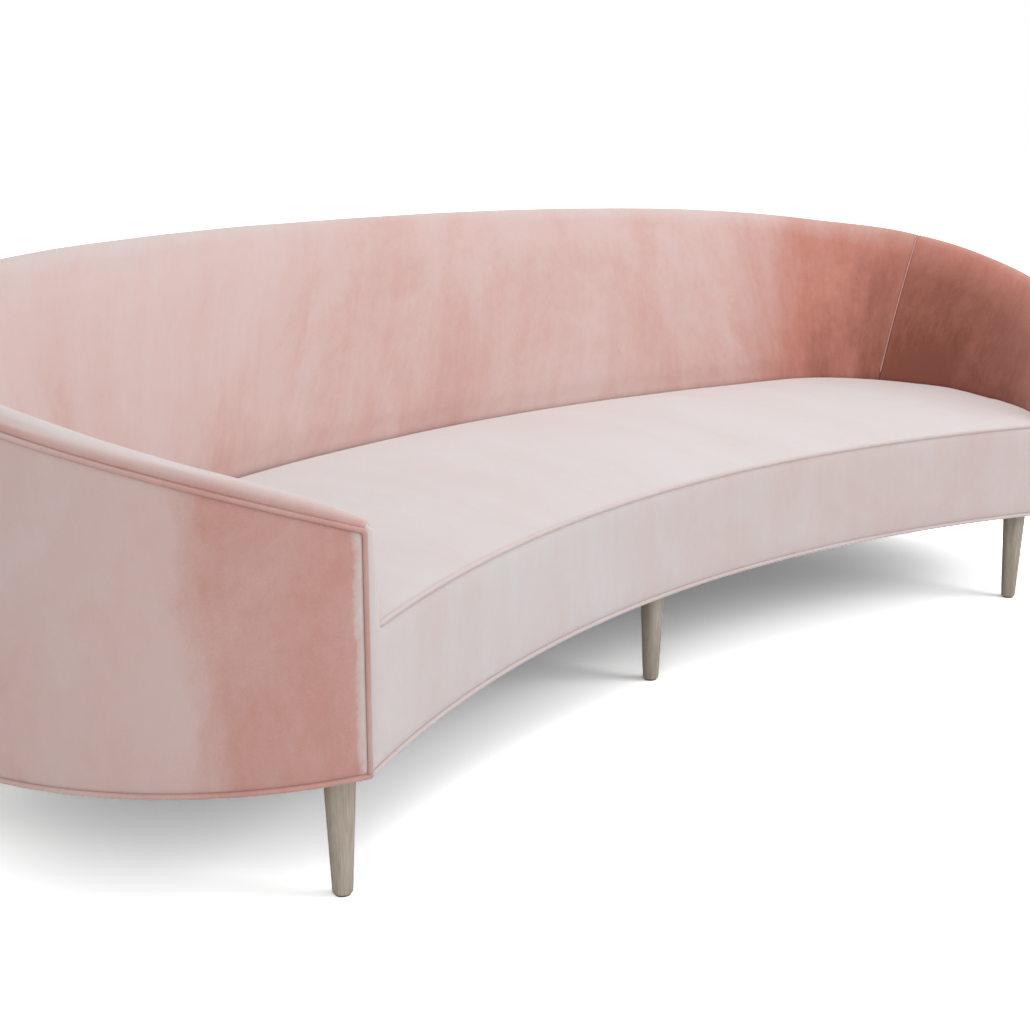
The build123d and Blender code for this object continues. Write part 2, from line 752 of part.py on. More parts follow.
def leg_places():
    """Plan place of each leg by name."""
    corner = Station(corner_heading(LEG_OUTSIDE_INSET, LEG_FRONT_INSET)).place(LEG_OUTSIDE_INSET, 0)
    rear = Station(LEG_REAR_HEADING).place(LEG_OUTSIDE_INSET, 0)
    middle = front_point(0, LEG_MIDDLE_INSET)
    rear_middle = Station(0).place(LEG_OUTSIDE_INSET, 0)
    return {
        "front_left": (-corner.X, corner.Y),
        "front_middle": (0.0, middle.Y),
        "front_right": (corner.X, corner.Y),
        "rear_left": (-rear.X, rear.Y),
        "rear_middle": (0.0, rear_middle.Y),
        "rear_right": (rear.X, rear.Y),
    }


def leg(x, y):
    """Round tapered leg with a blind hole for its bolt."""
    height = BASE_BOTTOM - GLIDE_THICKNESS
    base = Plane((x, y, GLIDE_THICKNESS))
    cone = Solid.make_cone(LEG_FOOT_RADIUS, LEG_TOP_RADIUS, height, base)
    foot = cone.edges().sort_by(Axis.Z)[0]
    rounded = cone.fillet(LEG_FOOT_ROUND, [foot])
    hole = upright(BOLT_RADIUS + HOLE_CLEARANCE, x, y, BASE_BOTTOM - BOLT_DEPTH, BASE_BOTTOM + 1)
    return largest(rounded - hole)


def tee_nut(x, y):
    """Barrel in the base ring with a flange on its top face."""
    flange_top = BASE_TOP + TEE_NUT_FLANGE_THICKNESS
    barrel = upright(TEE_NUT_RADIUS, x, y, BASE_BOTTOM, BASE_TOP)
    flange = upright(TEE_NUT_FLANGE_RADIUS, x, y, BASE_TOP, flange_top)
    bore = upright(BOLT_RADIUS + HOLE_CLEARANCE, x, y, BASE_BOTTOM, flange_top)
    return largest(barrel + flange - bore)


def base_ring(places):
    """Plywood ring under the rails, bored for the tee nuts."""
    inner = FRAME_FRONT + BASE_RING_WIDTH
    ring = crescent(FRAME_FRONT, FRAME_FRONT, BASE_BOTTOM, BASE_THICKNESS)
    ring = ring - crescent(inner, inner, BASE_BOTTOM, BASE_THICKNESS)
    for x, y in places:
        ring = ring - upright(TEE_NUT_RADIUS + HOLE_CLEARANCE, x, y, BASE_BOTTOM, BASE_TOP)
    return largest(ring)


def dust_cover(places):
    """Cloth under the base with a hole for each leg."""
    sheet = crescent(DUST_COVER_INSET, DUST_COVER_INSET, UNDERSIDE_HEIGHT, DUST_COVER_THICKNESS)
    for x, y in places:
        sheet = sheet - upright(LEG_TOP_RADIUS + SOFT_GAP, x, y, UNDERSIDE_HEIGHT, BASE_BOTTOM)
    return largest(sheet)


def leg_nodes():
    """Legs, their glides, bolts and nuts, and the base and dust cover that they go through."""
    places = leg_places()
    nodes = {}
    for name, (x, y) in places.items():
        nodes["leg_" + name] = leg(x, y)
        nodes["glide_" + name] = upright(GLIDE_RADIUS, x, y, 0, GLIDE_THICKNESS)
    spots = list(places.values())
    bolt_low = BASE_BOTTOM - BOLT_DEPTH + HOLE_CLEARANCE
    bolt_high = BASE_TOP + TEE_NUT_FLANGE_THICKNESS + BOLT_PROUD
    nodes["leg_bolts"] = [upright(BOLT_RADIUS, x, y, bolt_low, bolt_high) for x, y in spots]
    nodes["leg_tee_nuts"] = [tee_nut(x, y) for x, y in spots]
    nodes["base_ring"] = base_ring(spots)
    nodes["dust_cover"] = dust_cover(spots)
    return nodes


def frame_nodes():
    """Timber frame above the base ring, with its screws."""
    post = arm_post()
    rail = front_rail()
    rails = cross_rails()
    for place in screw_places():
        hole = screw(place, HOLE_CLEARANCE)
        rail = rail - hole
        rails = [part - hole for part in rails]
    bend = BACK_HALF_ANGLE
    rail_end = POST_HEADING - degrees(FRAME_GAP / END_RADIUS)
    joint = degrees(FRAME_GAP / END_RADIUS)
    side_rail = top_rail(bend + joint, rail_end)
    shelf = seat_shelf()
    return {
        "front_rail": largest(rail),
        "cross_rails": [largest(part) for part in rails],
        "corner_blocks": corner_blocks(),
        "frame_screws": [screw(place, 0) for place in screw_places()],
        "seat_back_rail": seat_back_rail(),
        "seat_shelf_left": mirrored(shelf),
        "seat_shelf_right": shelf,
        "tack_rail": tack_rail(),
        "back_ribs": [rib(heading) for heading in RIB_HEADINGS],
        "top_rail_left": mirrored(side_rail),
        "top_rail_centre": top_rail(-bend, bend),
        "top_rail_right": side_rail,
        "arm_post_left": mirrored(post),
        "arm_post_right": post,
    }


def suspension_nodes():
    """Springs, clips, insulator and webbing."""
    headings = [side * heading for heading in STRAP_HEADINGS for side in (-1, 1)]
    return {
        "seat_springs": [seat_spring(x) for x in spring_positions()],
        "spring_clips": spring_clips(),
        "seat_insulator": insulator(),
        "back_webbing": [strap(heading) for heading in headings],
    }


def padding_nodes():
    """Foam, padding and the fibreboard on the outside."""
    bend = BACK_HALF_ANGLE
    joint = degrees(SOFT_GAP / END_RADIUS)
    arm_end = POST_HEADING - joint
    corner = back_foam(bend + joint, SEAM_HEADING)
    arm = back_foam(SEAM_HEADING + joint, arm_end)
    rail = front_strip(
        CORNER_X, FRAME_FRONT - SOFT_GAP, FRAME_FRONT + RAIL_THICKNESS + SOFT_GAP, 0, RAIL_TOP + SOFT_GAP
    )
    pad = arm_front_padding(rail)
    far = LAYER_INSET + BOARD_THICKNESS
    below = WELT_RADIUS + CREST_TO_TOP_RAIL - CREST_TO_WELT
    board = outside_panel(LAYER_INSET, far, COVER_BOTTOM, below, bend + joint, LAST_HEADING)
    board = largest(board - front_cylinder(WELT_RADIUS + SOFT_GAP))
    front_top = SEAT_EDGE_HEIGHT - WELT_RADIUS - SOFT_GAP
    front_half_width = SEAT_TIP_X - SOFT_GAP
    return {
        "seat_foam": seat_foam(),
        "front_padding": front_strip(
            front_half_width, LAYER_INSET, LAYER_INSET + PADDING_THICKNESS, COVER_BOTTOM, front_top
        ),
        "back_foam_centre": back_foam(-bend, bend),
        "back_foam_left": mirrored(corner),
        "back_foam_right": corner,
        "arm_foam_left": mirrored(arm),
        "arm_foam_right": arm,
        "arm_front_padding_left": mirrored(pad),
        "arm_front_padding_right": pad,
        "outside_board_centre": outside_panel(LAYER_INSET, far, COVER_BOTTOM, below, -bend, bend),
        "outside_board_left": mirrored(board),
        "outside_board_right": board,
    }


def cover_nodes():
    """Covers and welts."""
    joint = degrees(SOFT_GAP / END_RADIUS)
    arm = inside_cover(SEAM_HEADING + joint, LAST_HEADING) - front_cylinder(LAYER_INSET)
    facing = arm_front_facing()
    below = WELT_RADIUS + SOFT_GAP
    outside = outside_panel(0, COVER_THICKNESS, COVER_BOTTOM, below, -LAST_HEADING, LAST_HEADING)
    corner = Station(FRONT_HEADING)
    front_welt = upright(WELT_RADIUS, CORNER_X, CORNER_Y, COVER_BOTTOM, corner.welt)
    front_half_width = SEAT_TIP_X - SOFT_GAP
    seat_welt_arc = front_arc(front_half_width, WELT_RADIUS / 2)
    return {
        "seat_cover": seat_cover(),
        "front_border": front_strip(
            front_half_width, 0, COVER_THICKNESS, COVER_BOTTOM, SEAT_EDGE_HEIGHT - WELT_RADIUS - SOFT_GAP
        ),
        "inside_back_cover": inside_cover(-SEAM_HEADING, SEAM_HEADING),
        "inside_arm_cover_left": mirrored(largest(arm)),
        "inside_arm_cover_right": largest(arm),
        "outside_cover": largest(outside - front_cylinder(WELT_RADIUS + SOFT_GAP)),
        "arm_facing_left": mirrored(facing),
        "arm_facing_right": facing,
        "seat_welt": swept_welt([seat_welt_arc], SEAT_EDGE_HEIGHT),
        "outside_top_welt": outside_top_welt(),
        "arm_front_welt_left": mirrored(front_welt),
        "arm_front_welt_right": front_welt,
        "bottom_welt": bottom_welt(),
    }


def main():
    os.makedirs("parts", exist_ok=True)
    nodes = {**leg_nodes(), **frame_nodes(), **suspension_nodes(), **padding_nodes(), **cover_nodes()}
    for name, shape in nodes.items():
        if isinstance(shape, list):
            shape = Compound(shape)
        export_step(shape, f"parts/{name}.step")
    print(len(nodes), "nodes")


main()
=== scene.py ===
"""Looks of a crescent sofa in blush velvet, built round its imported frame."""
import json
from math import acos, atan2, cos, hypot, pi, radians, sin

import bpy
import numpy as np
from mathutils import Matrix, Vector, noise


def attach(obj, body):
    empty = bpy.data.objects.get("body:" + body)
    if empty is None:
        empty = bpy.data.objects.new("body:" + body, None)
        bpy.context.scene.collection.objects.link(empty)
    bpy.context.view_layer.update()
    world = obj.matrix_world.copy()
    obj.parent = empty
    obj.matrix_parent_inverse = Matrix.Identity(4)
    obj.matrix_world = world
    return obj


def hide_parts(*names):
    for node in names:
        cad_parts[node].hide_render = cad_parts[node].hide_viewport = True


# Plan and levels of the sofa in metres, as in its frame
BACK_RADIUS = 2.650
BACK_TURN = radians(21.0)
END_RADIUS = 0.482
END_TURN = radians(142.0)
FRONT_RISE = 0.214
SEAT_EDGE = 0.374
SEAT_BACK = 0.402
SEAT_CROWN = 0.016
ARM_HEIGHT = 0.530
BACK_HEIGHT = 0.782
BACK_DEPTH = 0.308
ARM_DEPTH = 0.040
BACK_SETBACK = 0.072
ARM_SETBACK = 0.010
CREST_TO_WELT = 0.0285
NOSE_DROP = 0.015
NOSE_POWER = 24
FACE_BULGE = 0.008
WELT_RADIUS = 0.0035
BOTTOM_WELT = 0.1935
DUST_LEVEL = 0.1905
DECK = 0.3152
SEAM_TURN = radians(82.0)

FRONT_TURN = BACK_TURN + END_TURN
BACK_RUN = BACK_RADIUS * BACK_TURN
WALL_RUN = BACK_RUN + END_RADIUS * END_TURN
END_X = (BACK_RADIUS - END_RADIUS) * sin(BACK_TURN)
END_RISE = (BACK_RADIUS - END_RADIUS) * cos(BACK_TURN)
DEPTH = BACK_RADIUS - END_RISE - END_RADIUS * cos(FRONT_TURN)
BACK_Y = DEPTH / 2 - BACK_RADIUS
END_Y = BACK_Y + END_RISE
CORNER_X = END_X + END_RADIUS * sin(FRONT_TURN)
CORNER_Y = -DEPTH / 2
FRONT_RADIUS = (CORNER_X ** 2 + FRONT_RISE ** 2) / (2 * FRONT_RISE)
FRONT_Y = CORNER_Y + FRONT_RISE - FRONT_RADIUS

# Softness and thickness of the covers
NOSE_ROUND = 0.008
SEAM_DIP = 0.0020
SEAM_WIDTH = 0.004
SEAM_RADIUS = 0.0012
BEHIND_FACING = 0.012
TURNED_EDGE = 0.0006
FACING_TUCK = 0.014
RIM_TUCK = 0.0008
CORNER_CLEARANCE = 0.002
OUTSIDE_THICKNESS = 0.0022
BORDER_THICKNESS = 0.009
FACING_THICKNESS = 0.003
WELT_BEND = 0.005
SEAT_WELT_INSET = 0.00175
SEAT_WELT_TUCK = 0.006
DUST_INSET = 0.008

# Fineness of the meshes
COLUMN_STEP = 0.014
SEAT_TOP_ROWS = 56
FACING_ROWS = 90
WELT_STEPS = 420
FRONT_WELT_STEPS = 220
DUST_COLUMNS = 240
DUST_FRONT_POINTS = 160
DUST_ROWS = 12

# Settling of the stuffed pieces as cloth
CLOTH_FRAMES = 20
CLOTH_PRESSURE = 4.0
HELD_COLUMNS = 7
EASED_COLUMNS = 16

# Height of a cover over which its painted sheen and painted shade up the height are given
PILE_HEIGHT = 0.6


class Station:
    """One vertical section of the wall, square to the outside at a turn from straight back."""

    def __init__(self, turn):
        side = -1.0 if turn < 0 else 1.0
        size = abs(turn)
        if size <= BACK_TURN:
            run = BACK_RADIUS * size
            x = BACK_RADIUS * sin(size)
            y = BACK_Y + BACK_RADIUS * cos(size)
        else:
            run = BACK_RUN + END_RADIUS * (size - BACK_TURN)
            x = END_X + END_RADIUS * sin(size)
            y = END_Y + END_RADIUS * cos(size)
        share = run / WALL_RUN
        fall = share ** 3
        self.run = side * run
        self.share = side * share
        nose = NOSE_DROP * min(share, 1.0) ** NOSE_POWER
        self.top = BACK_HEIGHT - (BACK_HEIGHT - ARM_HEIGHT) * fall - nose
        self.depth = BACK_DEPTH - (BACK_DEPTH - ARM_DEPTH) * fall
        self.seat = SEAT_BACK - (SEAT_BACK - SEAT_EDGE) * fall
        self.setback = BACK_SETBACK - (BACK_SETBACK - ARM_SETBACK) * share
        self.welt = self.top + nose - CREST_TO_WELT
        self.bulge = FACE_BULGE * self.depth / BACK_DEPTH
        self.foot = np.array((side * x, y))
        self.inward = np.array((-side * sin(size), -cos(size)))

    def place(self, inset, height):
        """A point at a distance inward from the outside and a height above the floor."""
        x, y = self.foot + self.inward * inset
        return np.array((x, y, height))


def turn_at(run):
    """Turn from straight back at a signed run along the outside."""
    size = abs(run)
    turn = size / BACK_RADIUS if size <= BACK_RUN else BACK_TURN + (size - BACK_RUN) / END_RADIUS
    return turn if run >= 0 else -turn


def front_y(x, inset):
    """Y of the concave front at an x, an inset behind its face."""
    return FRONT_Y + ((FRONT_RADIUS + inset) ** 2 - x ** 2) ** 0.5


def before_front(point):
    """Whether a point lies in front of the sofa's front face."""
    return hypot(point[0], point[1] - FRONT_Y) < FRONT_RADIUS


def halve(low, high, stays_low):
    """The value between two others at which a test changes."""
    for _ in range(40):
        middle = (low + high) / 2
        if stays_low(middle):
            low = middle
        else:
            high = middle
    return low


def seat_foot(turn):
    """Plan point where the seat meets the wall."""
    station = Station(turn)
    return station.place(station.depth, 0)


TIP_TURN = halve(radians(90.0), radians(175.0), lambda turn: not before_front(seat_foot(turn)))
TIP_X = seat_foot(TIP_TURN)[0]
TIP_SHARE = Station(TIP_TURN).share


def arc(a, b, c, count):
    """Points along the arc through three points, ends included."""
    (ax, ay), (bx, by), (cx, cy) = a, b, c
    double = 2 * (ax * (by - cy) + bx * (cy - ay) + cx * (ay - by))
    aa, bb, cc = ax * ax + ay * ay, bx * bx + by * by, cx * cx + cy * cy
    x = (aa * (by - cy) + bb * (cy - ay) + cc * (ay - by)) / double
    y = (aa * (cx - bx) + bb * (ax - cx) + cc * (bx - ax)) / double
    radius = hypot(ax - x, ay - y)
    first = atan2(ay - y, ax - x)
    to_middle = (atan2(by - y, bx - x) - first) % (2 * pi)
    to_end = (atan2(cy - y, cx - x) - first) % (2 * pi)
    sweep = to_end if to_middle < to_end else to_end - 2 * pi
    angles = first + sweep * np.linspace(0, 1, count)
    return [(x + radius * cos(t), y + radius * sin(t)) for t in angles]


def wall_profile(station):
    """Closed section of the stuffed inside of the wall: insets and heights, with the skin first."""
    rise = station.top - station.welt - WELT_RADIUS
    setback = station.setback
    outer_radius = (setback ** 2 + rise ** 2) / (2 * rise)
    half_turn = atan2(setback, outer_radius - rise) / 2
    start = (0.0, station.top - rise)
    outer_middle = (
        setback - outer_radius * sin(half_turn),
        station.top - outer_radius + outer_radius * cos(half_turn),
    )
    crest = (setback, station.top)
    centre = station.top - setback
    foot = (station.depth, station.seat)
    across, down = foot[0] - setback, foot[1] - centre
    lean = atan2(down, across) + acos(setback / hypot(across, down))
    half_lean = (pi / 2 + lean) / 2
    roll_middle = (setback + setback * cos(half_lean), centre + setback * sin(half_lean))
    shoulder = (setback + setback * cos(lean), centre + setback * sin(lean))
    face_middle = (
        (shoulder[0] + foot[0]) / 2 + station.bulge * cos(lean),
        (shoulder[1] + foot[1]) / 2 + station.bulge * sin(lean),
    )
    skin = [(0.006, station.welt - 0.002), (0.003, station.welt + 0.001)]
    skin += arc(start, outer_middle, crest, 8)
    skin += arc(crest, roll_middle, shoulder, 12)[1:]
    skin += arc(shoulder, face_middle, foot, 22)[1:]
    skin += [(station.depth - 0.003, station.seat - 0.011), (station.depth - 0.009, station.seat - 0.026)]
    inner = [
        (station.depth * 0.72, station.seat - 0.026),
        (setback + (station.depth * 0.72 - setback) * 0.55, (station.top + station.seat) / 2 - 0.03),
        (setback * 0.9, station.top - setback),
        (setback * 0.8, station.welt - 0.008),
    ]
    return np.array(skin), np.array(inner)


def linear(red, green, blue):
    """Scene colour of a screen colour given in 255ths."""
    def channel(value):
        share = value / 255
        return share / 12.92 if share <= 0.04045 else ((share + 0.055) / 1.055) ** 2.4
    return channel(red), channel(green), channel(blue), 1.0


class Nodes:
    """Short hand for building one material's nodes."""

    def __init__(self, name):
        self.material = bpy.data.materials.new(name)
        self.material.use_nodes = True
        self.tree = self.material.node_tree
        self.shader = self.tree.nodes["Principled BSDF"]

    def add(self, kind, **inputs):
        node = self.tree.nodes.new("ShaderNode" + kind)
        for name, value in inputs.items():
            self.feed(node.inputs[name.replace("_", " ")], value)
        return node

    def feed(self, socket, value):
        if isinstance(value, bpy.types.NodeSocket):
            self.tree.links.new(value, socket)
        else:
            socket.default_value = value

    def math(self, operation, first, second):
        node = self.tree.nodes.new("ShaderNodeMath")
        node.operation = operation
        self.feed(node.inputs[0], first)
        self.feed(node.inputs[1], second)
        return node.outputs[0]

    def scaled(self, vector, x, y, z=1.0):
        node = self.add("Mapping", Vector=vector, Scale=(x, y, z))
        return node.outputs[0]

    def noise(self, vector, scale, detail=3.0, rough=0.55, bent=0.0):
        node = self.add("TexNoise", Vector=vector, Scale=scale, Detail=detail, Roughness=rough)
        self.feed(node.inputs["Distortion"], bent)
        return node.outputs[0]

    def ramp(self, value, stops):
        node = self.add("ValToRGB", Fac=value)
        elements = node.color_ramp.elements
        while len(elements) < len(stops):
            elements.new(0.5)
        for element, (position, colour) in zip(elements, stops):
            element.position = position
            element.color = colour
        return node.outputs[0]

    def bump(self, height, strength, distance, below=None):
        node = self.add("Bump", Height=height, Strength=strength, Distance=distance)
        if below is not None:
            self.feed(node.inputs["Normal"], below)
        return node.outputs[0]


# Colours of the velvet, from deep coral that is painted shade, through coral and blush, to pale grey that is
# painted sheen
# Deep coral: the velvet darkened as painted shade
SHADED_CORAL = linear(126, 74, 61)
CORAL = linear(180, 121, 107)
BLUSH = linear(196, 168, 163)
# Pale grey: the velvet lightened as painted sheen
SHEEN_PALE = linear(200, 197, 197)


def grey(value):
    """A plain number as a ramp's colour."""
    return value, value, value, 1.0


def velvet(name, nap_shade_and_sheen, streaks, patches, along=(0.0, 1.0), across=((0.0, 0.0), (1.0, 0.0)), rim=0.0):
    """Velvet with random streaks and patches in its pile, over painted shade and painted sheen.

    The tone along the cover is partly the lie of the pile and partly painted shade and painted sheen, across
    adds painted sheen and painted shade up its height, and rim adds a painted highlight in a narrow line
    beside both ends.
    """
    made = Nodes(name)
    sheet = made.add("UVMap").outputs[0]
    place = made.add("SeparateXYZ", Vector=sheet)
    low, high = along
    share = made.add("MapRange", Value=place.outputs[0])
    share.inputs["From Min"].default_value = low
    share.inputs["From Max"].default_value = high
    wander = made.noise(made.scaled(sheet, 9.0, 3.0), 1.0)
    sway = 0.14 / (high - low)
    swing = made.math("MULTIPLY_ADD", wander, sway)
    swing.node.inputs[2].default_value = -sway / 2
    moved = made.math("ADD", share.outputs[0], swing)
    # Tone along the cover: partly the lie of the pile, partly painted shade and painted sheen
    base = made.ramp(moved, [(position, grey(value)) for position, value in nap_shade_and_sheen])
    streak = made.noise(made.scaled(sheet, 9.0, 1.3), 1.0, 4.0, 0.6, 0.3)
    patch = made.noise(made.scaled(sheet, 4.0, 3.0), 1.0, 5.0, 0.62, 0.6)
    brush = made.noise(made.scaled(sheet, 55.0, 32.0), 1.0, 5.0, 0.7)
    grain = made.noise(sheet, 330.0, 2.0, 0.6)
    height = made.math("DIVIDE", place.outputs[1], PILE_HEIGHT)
    # Painted sheen and painted shade up the height, lighter at the crest as a painted highlight
    added = made.ramp(height, [(position, grey(0.5 + value)) for position, value in across])
    total = made.math("SUBTRACT", made.math("ADD", base, added), 0.5)
    for field, weight in ((streak, streaks), (patch, patches), (brush, 0.14), (grain, 0.1)):
        part = made.math("MULTIPLY_ADD", field, weight)
        part.node.inputs[2].default_value = -weight / 2
        total = made.math("ADD", total, part)
    # Painted highlight in a narrow line beside both ends
    if rim > 0:
        from_middle = made.math("ABSOLUTE", place.outputs[0], 0.0)
        highlight_reach = made.math("ADD", from_middle, made.math("MULTIPLY", brush, 0.02))
        edge = made.add("MapRange", Value=highlight_reach)
        edge.inputs["From Min"].default_value = high - 0.008
        edge.inputs["From Max"].default_value = high + 0.004
        total = made.math("ADD", total, made.math("MULTIPLY", edge.outputs[0], rim))
    # Deep coral at the low end is painted shade, pale grey at the high end is painted sheen
    colour = made.ramp(total, [(0.0, SHADED_CORAL), (0.25, CORAL), (0.55, BLUSH), (1.0, SHEEN_PALE)])
    pile = made.noise(sheet, 1400.0, 2.0, 0.7)
    crush = made.noise(made.scaled(sheet, 60.0, 30.0), 1.0, 4.0, 0.6)
    rough = made.bump(crush, 0.25, 0.0012)
    made.feed(made.shader.inputs["Normal"], made.bump(pile, 0.3, 0.0007, rough))
    made.feed(made.shader.inputs["Base Color"], colour)
    made.shader.inputs["Roughness"].default_value = 0.92
    made.shader.inputs["Specular IOR Level"].default_value = 0.15
    made.shader.inputs["Sheen Weight"].default_value = 0.45
    made.shader.inputs["Sheen Roughness"].default_value = 0.42
    made.shader.inputs["Sheen Tint"].default_value = linear(255, 236, 232)
    return made.material


def oak():
    """Greyed, limed oak with its grain up the leg."""
    made = Nodes("limed_oak")
    place = made.add("TexCoord").outputs["Object"]
    grain = made.noise(made.scaled(place, 90.0, 90.0, 5.0), 1.0, 5.0, 0.65, 0.8)
    pores = made.noise(made.scaled(place, 420.0, 420.0, 16.0), 1.0, 3.0, 0.6)
    cloud = made.noise(made.scaled(place, 14.0, 14.0, 6.0), 1.0, 3.0)
    mixed = made.math("ADD", made.math("MULTIPLY", grain, 0.6), made.math("MULTIPLY", pores, 0.25))
    mixed = made.math("ADD", mixed, made.math("MULTIPLY", cloud, 0.3))
    colour = made.ramp(mixed, [
        (0.30, linear(122, 110, 95)), (0.52, linear(163, 151, 136)), (0.78, linear(198, 188, 174)),
    ])
    made.feed(made.shader.inputs["Base Color"], colour)
    made.feed(made.shader.inputs["Normal"], made.bump(pores, 0.35, 0.0005))
    made.shader.inputs["Roughness"].default_value = 0.58
    made.shader.inputs["Specular IOR Level"].default_value = 0.3
    return made.material


def plain(name, dark, light, scale, rough, metal=0.0):
    """Two-tone grained material for the pieces inside."""
    made = Nodes(name)
    place = made.add("TexCoord").outputs["Object"]
    field = made.noise(made.scaled(place, scale[0], scale[1], scale[2]), 1.0, 4.0, 0.6, 0.4)
    made.feed(made.shader.inputs["Base Color"], made.ramp(field, [(0.3, dark), (0.7, light)]))
    made.feed(made.shader.inputs["Normal"], made.bump(field, 0.2, 0.0005))
    made.shader.inputs["Roughness"].default_value = rough
    made.shader.inputs["Metallic"].default_value = metal
    return made.material


def grid_piece(name, points, sheet, material, loop=False, capped=False, flip=False):
    """Mesh piece from rows of points; a loop closes each column, caps close the two ends."""
    columns, rows = points.shape[:2]
    faces = []
    around = rows if loop else rows - 1
    for i in range(columns - 1):
        for j in range(around):
            k = (j + 1) % rows
            faces.append((i * rows + j, (i + 1) * rows + j, (i + 1) * rows + k, i * rows + k))
    if capped:
        faces.append(tuple(range(rows)))
        faces.append(tuple((columns - 1) * rows + j for j in reversed(range(rows))))
    if flip:
        faces = [face[::-1] for face in faces]
    mesh = bpy.data.meshes.new(name)
    mesh.from_pydata(points.reshape(-1, 3).tolist(), [], faces)
    layer = mesh.uv_layers.new(name="nap")
    flat = sheet.reshape(-1, 2)
    corners = np.zeros(len(mesh.loops), dtype=np.int32)
    mesh.loops.foreach_get("vertex_index", corners)
    layer.data.foreach_set("uv", flat[corners].astype(np.float32).ravel())
    mesh.polygons.foreach_set("use_smooth", [True] * len(mesh.polygons))
    mesh.materials.append(material)
    piece = bpy.data.objects.new(name, mesh)
    bpy.context.scene.collection.objects.link(piece)
    return piece


def spread(low, high, step, edge):
    """Positions from one end to the other, packed closer within an edge's width of both."""
    close = edge * np.array((0.0, 0.12, 0.28, 0.5, 0.75))
    count = max(2, int((high - low - 2 * edge) / step))
    middle = np.linspace(low + edge, high - edge, count)
    return np.concatenate((low + close, middle, (high - close)[::-1]))


def ripple(x, y, seed):
    """Smooth noise from about -1 to 1."""
    return noise.noise(Vector((x, y, seed)))


def normals_of(profile):
    """Outward directions across a section's skin, on the left of its way from outside to inside."""
    along = np.gradient(profile, axis=0)
    along /= np.linalg.norm(along, axis=1)[:, None]
    return np.stack((-along[:, 1], along[:, 0]), axis=1)


def dents(run, way, above_seat, seed):
    """Small rises and hollows of the tight cover, with short pulls just above the seat."""
    rise = 0.0022 * ripple(run * 2.6, way * 3.0, seed) + 0.0010 * ripple(run * 7.0, way * 5.0, seed + 5)
    pull = 0.0030 * ripple(run * 15.0, way * 2.0, seed + 9) * np.exp(-max(above_seat, 0.0) / 0.055)
    return rise + pull


def front_turns(rows):
    """For each place on the section, the turn at which the wall reaches the front face."""
    ends = []
    for k in range(rows):
        def behind(turn, index=k):
            station = Station(turn)
            skin, inner = wall_profile(station)
            inset, height = np.vstack((skin, inner))[index]
            return not before_front(station.place(inset, height))
        ends.append(halve(radians(150.0), radians(178.0), behind))
    return ends


def pile_slant(run):
    """Sideways slant of the brush strokes in the pile at a run along the back."""
    return 0.54 * max(0.0, min(1.4, (1.2 - run) / 1.2))


def behind_front(spot):
    """Level direction from the front face into the sofa at a place."""
    out = np.array((spot[0], spot[1] - FRONT_Y, 0.0))
    return out / np.linalg.norm(out)


def in_front_face(station, outward, spot):
    """The part of a section's outward direction that lies in the front face."""
    depth_way = behind_front(spot)
    full = np.array((*(station.inward * outward[0]), outward[1]))
    return full - depth_way * (full @ depth_way)


def wall_panel(name, first, last, material, ends=None):
    """Stuffed inside of the wall between two runs; ends are the turns of a trimmed front."""
    runs = spread(first, last, COLUMN_STEP, 0.02)
    points, sheet = [], []
    for run in runs:
        to_front = max(0.0, min(1.0, (run - first) / (last - first)))
        shear = max(0.0, (to_front - 0.45) / 0.55) ** 2
        base = turn_at(run)
        stations = {}
        column, flat = [], []
        skin, inner = wall_profile(Station(base))
        rows = len(skin) + len(inner)
        for k in range(rows):
            turn = base if ends is None else base + (ends[k] - FRONT_TURN) * shear
            key = round(turn, 6)
            if key not in stations:
                station = Station(turn)
                station_skin, station_inner = wall_profile(station)
                lengths = np.linalg.norm(np.diff(station_skin, axis=0), axis=1)
                ways = np.concatenate(((0.0,), np.cumsum(lengths)))
                stations[key] = (station, station_skin, station_inner, normals_of(station_skin), ways)
            station, station_skin, station_inner, outward, ways = stations[key]
            if k >= len(skin):
                inset, height = station_inner[k - len(skin)]
                way = ways[-1]
            else:
                way = ways[k]
                seam = run - first if ends is not None else min(run - first, last - run)
                move = -SEAM_DIP * np.exp(-((seam / SEAM_WIDTH) ** 2))
                fade = min(1.0, k / 4.0, (len(skin) - 1 - k) / 3.0, (last - run) / 0.05)
                move += fade * dents(run, way, station_skin[k][1] - station.seat, 3.0)
                inset, height = station_skin[k] + outward[k] * move
            spot = station.place(inset, height)
            if ends is not None and k < len(skin) and last - run < NOSE_ROUND:
                curl = NOSE_ROUND - (NOSE_ROUND ** 2 - (NOSE_ROUND - (last - run)) ** 2) ** 0.5
                spot = spot - curl * min(1.0, max(0, k - 2) / 5.0) * in_front_face(station, outward[k], spot)
            column.append(spot)
            flat.append((run + pile_slant(run) * way, way))
        points.append(column)
        sheet.append(flat)
    if ends is not None:
        edge = points[-1]
        for behind in (TURNED_EDGE, BEHIND_FACING):
            points.append([spot + behind * behind_front(spot) for spot in edge])
            sheet.append(sheet[-1])
    return grid_piece(name, np.array(points), np.array(sheet), material, loop=True, capped=True, flip=True)


def mirror_piece(piece, name, material):
    """The same piece on the other end of the sofa."""
    mesh = piece.data.copy()
    mesh.name = name
    mesh.transform(((-1, 0, 0, 0), (0, 1, 0, 0), (0, 0, 1, 0), (0, 0, 0, 1)))
    mesh.flip_normals()
    layer = mesh.uv_layers["nap"].data
    flat = np.zeros(len(layer) * 2, dtype=np.float32)
    layer.foreach_get("uv", flat)
    flat[0::2] *= -1
    layer.foreach_set("uv", flat)
    mesh.materials[0] = material
    twin = bpy.data.objects.new(name, mesh)
    bpy.context.scene.collection.objects.link(twin)
    return twin


